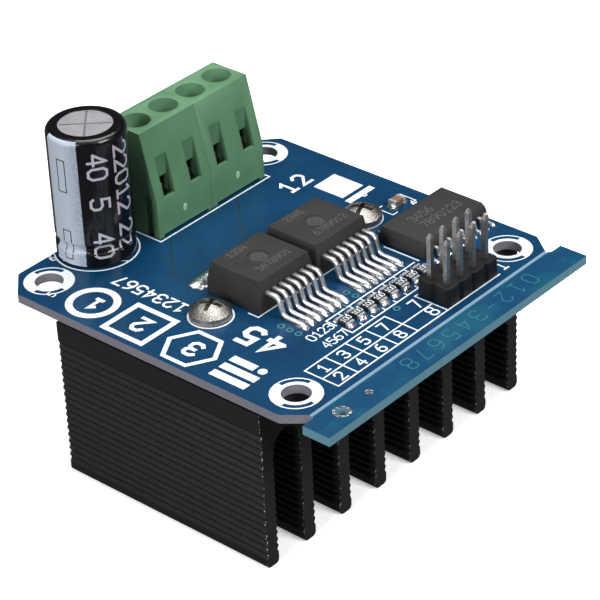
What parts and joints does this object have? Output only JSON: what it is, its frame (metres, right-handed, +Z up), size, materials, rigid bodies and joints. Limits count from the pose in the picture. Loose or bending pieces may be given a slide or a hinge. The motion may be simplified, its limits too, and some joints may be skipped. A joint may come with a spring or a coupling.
{
  "type": "motor driver module",
  "caption": "Motor driver circuit board screwed to a finned heatsink, with screw terminals, a capacitor, power packages and a pin header.",
  "frame": {"origin": "middle of the outline seen from above, at the height of the fin tips it stands on", "axes": "+Z up through the board; +X from the power terminals to the pin header, along the fins; +Y along the terminals, away from the capacitor"},
  "size_m": [0.056, 0.05, 0.0424],
  "materials": {
    "board": "glossy solder mask",
    "pad": "soft, matt",
    "heatsink": "black anodised, satin",
    "screw_steel": "zinc plated",
    "solder": "shiny solder",
    "tinned_lead": "tin plated",
    "mould": "moulded epoxy, matt",
    "header_plastic": "satin",
    "terminal_green": "moulded, semi-gloss",
    "can": "drawn, satin",
    "sleeve": "shrunk film, glossy",
    "bung": "matt",
    "winding": "paper and foil roll",
    "pin_metal": "plated, bright",
    "contact_metal": "tin plated",
    "cage_metal": "nickel plated",
    "clamp_screw": "zinc plated",
    "chip_black": "ceramic and glaze",
    "chip_ceramic": "ceramic"
  },
  "bodies": {
    "module": {"circuit_board": "board", "thermal_pad": "pad", "heatsink": "heatsink", "heatsink_screws": "screw_steel", "solder_joints": "solder", "half_bridge_a_body": "mould", "half_bridge_a_leads": "tinned_lead", "half_bridge_b_body": "mould", "half_bridge_b_leads": "tinned_lead", "buffer_chip_body": "mould", "buffer_chip_leads": "tinned_lead", "header_base": "header_plastic", "terminal_housing_a": "terminal_green", "terminal_housing_b": "terminal_green", "capacitor_can": "can", "capacitor_sleeve": "sleeve", "capacitor_bung": "bung", "capacitor_winding": "winding", "capacitor_leads": "tinned_lead", "chip_capacitor": "chip_ceramic", "header_pin_1": "pin_metal", "header_pin_2": "pin_metal", "header_pin_3": "pin_metal", "header_pin_4": "pin_metal", "header_pin_5": "pin_metal", "header_pin_6": "pin_metal", "header_pin_7": "pin_metal", "header_pin_8": "pin_metal", "terminal_contact_1": "contact_metal", "terminal_contact_2": "contact_metal", "terminal_contact_3": "contact_metal", "terminal_contact_4": "contact_metal", "chip_resistor_1": "chip_black", "chip_resistor_2": "chip_black", "chip_resistor_3": "chip_black", "chip_resistor_4": "chip_black", "chip_resistor_5": "chip_black", "chip_resistor_6": "chip_black", "chip_resistor_7": "chip_black", "chip_resistor_8": "chip_black"},
    "clamp_screw_1": {"terminal_screw_1": "clamp_screw"},
    "clamp_cage_1": {"terminal_cage_1": "cage_metal"},
    "clamp_screw_2": {"terminal_screw_2": "clamp_screw"},
    "clamp_cage_2": {"terminal_cage_2": "cage_metal"},
    "clamp_screw_3": {"terminal_screw_3": "clamp_screw"},
    "clamp_cage_3": {"terminal_cage_3": "cage_metal"},
    "clamp_screw_4": {"terminal_screw_4": "clamp_screw"},
    "clamp_cage_4": {"terminal_cage_4": "cage_metal"}
  },
  "joints": [
    {"name": "screw_turn_1", "type": "hinge", "parent": "module", "child": "clamp_screw_1", "pos_m": [-0.02315, -0.00205, 0.0351], "axis": [0, 0, -1], "range_deg": [0, 1800]},
    {"name": "cage_lift_1", "type": "slide", "parent": "module", "child": "clamp_cage_1", "axis": [0, 0, 1], "range_m": [0, 0.0025]},
    {"name": "screw_turn_2", "type": "hinge", "parent": "module", "child": "clamp_screw_2", "pos_m": [-0.02315, 0.00303, 0.0351], "axis": [0, 0, -1], "range_deg": [0, 1800]},
    {"name": "cage_lift_2", "type": "slide", "parent": "module", "child": "clamp_cage_2", "axis": [0, 0, 1], "range_m": [0, 0.0025]},
    {"name": "screw_turn_3", "type": "hinge", "parent": "module", "child": "clamp_screw_3", "pos_m": [-0.02315, 0.00811, 0.0351], "axis": [0, 0, -1], "range_deg": [0, 1800]},
    {"name": "cage_lift_3", "type": "slide", "parent": "module", "child": "clamp_cage_3", "axis": [0, 0, 1], "range_m": [0, 0.0025]},
    {"name": "screw_turn_4", "type": "hinge", "parent": "module", "child": "clamp_screw_4", "pos_m": [-0.02315, 0.01319, 0.0351], "axis": [0, 0, -1], "range_deg": [0, 1800]},
    {"name": "cage_lift_4", "type": "slide", "parent": "module", "child": "clamp_cage_4", "axis": [0, 0, 1], "range_m": [0, 0.0025]}
  ],
  "couplings": [
    {"joint": "screw_turn_1", "follows": "cage_lift_1", "rad_per_m": 12566},
    {"joint": "screw_turn_2", "follows": "cage_lift_2", "rad_per_m": 12566},
    {"joint": "screw_turn_3", "follows": "cage_lift_3", "rad_per_m": 12566},
    {"joint": "screw_turn_4", "follows": "cage_lift_4", "rad_per_m": 12566}
  ]
}
